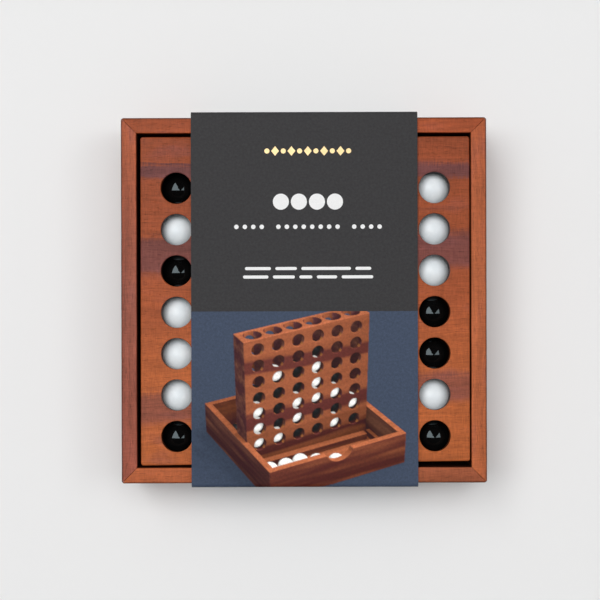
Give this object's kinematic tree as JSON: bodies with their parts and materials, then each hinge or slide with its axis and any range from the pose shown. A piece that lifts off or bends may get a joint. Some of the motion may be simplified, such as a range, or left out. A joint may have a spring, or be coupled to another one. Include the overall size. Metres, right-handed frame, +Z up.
{
  "type": "four in a row travel game",
  "caption": "Packed four in a row travel game: a square wooden tray holds a windowed frame with glass marbles in its bores, and a loop of printed card wraps the middle.",
  "frame": {"origin": "under the middle of the sleeve, on the surface it lies on; the bottom centre of the bounding box", "axes": "+X along the frame's rows, +Y towards the closed ends of its bores, +Z up through the windows"},
  "size_m": [0.13, 0.1334, 0.031],
  "materials": {
    "tray_wood": "oiled, satin, orange brown",
    "frame_wood": "oiled, satin, orange brown with purple-brown bands",
    "black_glass": "opaque glossy black glass",
    "white_glass": "opaque glossy white glass",
    "printed_card": "matte charcoal and slate blue print on card"
  },
  "bodies": {
    "tray": {"tray_front_wall": "tray_wood", "tray_rear_wall": "tray_wood", "tray_left_wall": "tray_wood", "tray_right_wall": "tray_wood", "tray_floor": "tray_wood", "rail_left_front": "tray_wood", "rail_left_rear": "tray_wood", "rail_right_front": "tray_wood", "rail_right_rear": "tray_wood", "slot_bar_front": "tray_wood", "slot_bar_rear": "tray_wood"},
    "frame": {"frame_back_half": "frame_wood", "frame_front_half": "frame_wood"},
    "marbles_c1": {"marble_c1_r1": "black_glass", "marble_c1_r2": "white_glass", "marble_c1_r3": "black_glass", "marble_c1_r4": "white_glass", "marble_c1_r5": "white_glass", "marble_c1_r6": "white_glass", "marble_c1_r7": "black_glass"},
    "marbles_c2": {"marble_c2_r1": "white_glass", "marble_c2_r2": "black_glass", "marble_c2_r3": "white_glass", "marble_c2_r4": "black_glass", "marble_c2_r5": "black_glass", "marble_c2_r6": "white_glass", "marble_c2_r7": "black_glass"},
    "marbles_c3": {"marble_c3_r1": "black_glass", "marble_c3_r2": "black_glass", "marble_c3_r3": "white_glass", "marble_c3_r4": "white_glass", "marble_c3_r5": "black_glass", "marble_c3_r6": "white_glass", "marble_c3_r7": "black_glass"},
    "marbles_c4": {"marble_c4_r1": "white_glass", "marble_c4_r2": "black_glass", "marble_c4_r3": "white_glass", "marble_c4_r4": "black_glass", "marble_c4_r5": "white_glass", "marble_c4_r6": "black_glass", "marble_c4_r7": "white_glass"},
    "marbles_c5": {"marble_c5_r1": "black_glass", "marble_c5_r2": "white_glass", "marble_c5_r3": "black_glass", "marble_c5_r4": "black_glass", "marble_c5_r5": "white_glass", "marble_c5_r6": "black_glass", "marble_c5_r7": "white_glass"},
    "marbles_c6": {"marble_c6_r1": "white_glass", "marble_c6_r2": "white_glass", "marble_c6_r3": "white_glass", "marble_c6_r4": "black_glass", "marble_c6_r5": "black_glass", "marble_c6_r6": "white_glass", "marble_c6_r7": "black_glass"},
    "sleeve": {"sleeve": "printed_card"}
  },
  "joints": [
    {"name": "sleeve_slide", "type": "slide", "parent": "tray", "child": "sleeve", "axis": [1, 0, 0], "range_m": [-0.106, 0.106]},
    {"name": "frame_shift", "type": "slide", "parent": "tray", "child": "frame", "axis": [1, 0, 0], "range_m": [-0.0011, 0.0002]},
    {"name": "marbles_c1_roll", "type": "slide", "parent": "frame", "child": "marbles_c1", "axis": [0, -1, 0], "range_m": [0, 0.0025]},
    {"name": "marbles_c2_roll", "type": "slide", "parent": "frame", "child": "marbles_c2", "axis": [0, -1, 0], "range_m": [0, 0.0025]},
    {"name": "marbles_c3_roll", "type": "slide", "parent": "frame", "child": "marbles_c3", "axis": [0, -1, 0], "range_m": [0, 0.0025]},
    {"name": "marbles_c4_roll", "type": "slide", "parent": "frame", "child": "marbles_c4", "axis": [0, -1, 0], "range_m": [0, 0.0025]},
    {"name": "marbles_c5_roll", "type": "slide", "parent": "frame", "child": "marbles_c5", "axis": [0, -1, 0], "range_m": [0, 0.0025]},
    {"name": "marbles_c6_roll", "type": "slide", "parent": "frame", "child": "marbles_c6", "axis": [0, -1, 0], "range_m": [0, 0.0025]}
  ]
}
